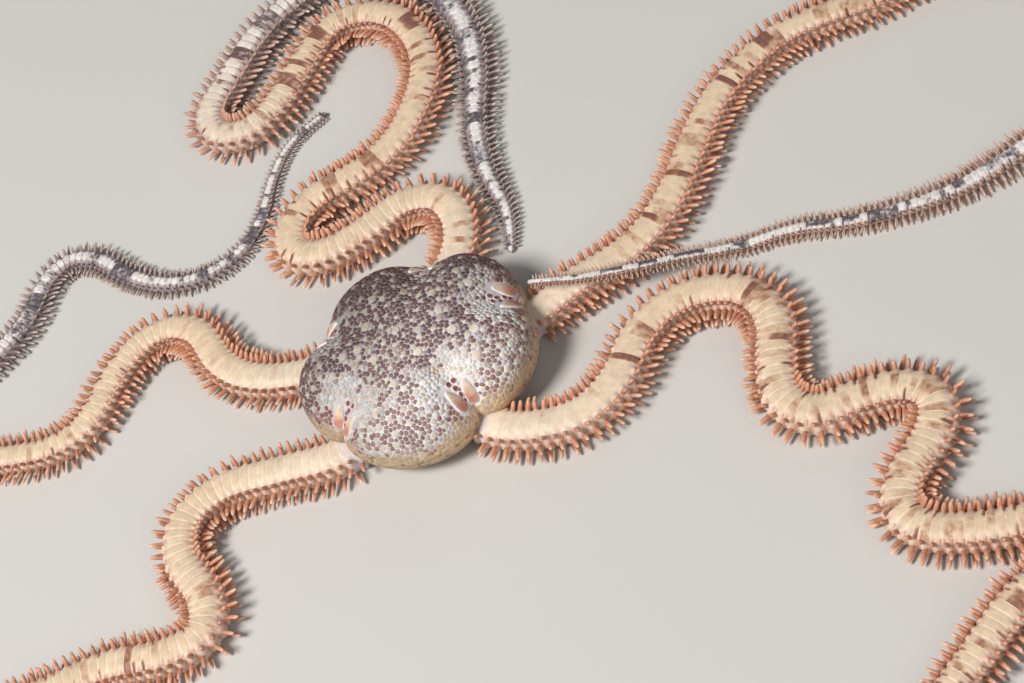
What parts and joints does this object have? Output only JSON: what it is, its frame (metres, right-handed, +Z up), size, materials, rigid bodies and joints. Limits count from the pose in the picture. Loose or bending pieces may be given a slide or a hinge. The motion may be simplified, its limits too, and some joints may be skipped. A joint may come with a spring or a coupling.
{
  "type": "brittle star",
  "caption": "Life-size burrowing brittle star at rest: a swollen, lobed disc with paired shields and long, thin, winding arms edged with short spines.",
  "frame": {"origin": "On the ground under the middle of the disc, at the middle of the mouth frame's flat underside.", "axes": "+Z is up, out of the disc's back. +Y and +X lie in the ground plane: the arm that ends under itself in a broad loop leaves the disc between +X and +Y, and the arm with two hairpins leaves it towards +Y."},
  "size_m": [0.0721, 0.0695, 0.0051],
  "materials": {
    "disc_scales": "satin, mottled purple-brown scales on pale lilac and cream",
    "mouth_plates": "matte cream plates",
    "arm_plates": "satin cream plates with purple-brown bands and orange-pink spines, paling to white plates with grey-black bands and grey-brown spines towards the tips"
  },
  "bodies": {
    "root": {"arm_a_01": "arm_plates", "arm_a_02": "arm_plates", "arm_a_03": "arm_plates", "arm_a_04": "arm_plates", "arm_a_05": "arm_plates", "arm_a_06": "arm_plates", "arm_a_07": "arm_plates", "arm_a_08": "arm_plates", "arm_a_09": "arm_plates", "arm_a_10": "arm_plates", "arm_a_11": "arm_plates", "arm_a_12": "arm_plates", "arm_b_01": "arm_plates", "arm_b_02": "arm_plates", "arm_b_03": "arm_plates", "arm_b_04": "arm_plates", "arm_b_05": "arm_plates", "arm_b_06": "arm_plates", "arm_b_07": "arm_plates", "arm_c_01": "arm_plates", "arm_c_02": "arm_plates", "arm_c_03": "arm_plates", "arm_c_04": "arm_plates", "arm_c_05": "arm_plates", "arm_c_06": "arm_plates", "arm_c_07": "arm_plates", "arm_c_08": "arm_plates", "arm_c_09": "arm_plates", "arm_c_10": "arm_plates", "arm_c_11": "arm_plates", "arm_d_01": "arm_plates", "arm_d_02": "arm_plates", "arm_d_03": "arm_plates", "arm_d_04": "arm_plates", "arm_d_05": "arm_plates", "arm_d_06": "arm_plates", "arm_d_07": "arm_plates", "arm_e_01": "arm_plates", "arm_e_02": "arm_plates", "arm_e_03": "arm_plates", "arm_e_04": "arm_plates", "arm_e_05": "arm_plates", "arm_e_06": "arm_plates", "arm_e_07": "arm_plates", "arm_e_08": "arm_plates", "disc": "disc_scales", "mouth_frame": "mouth_plates"}
  },
  "joints": []
}
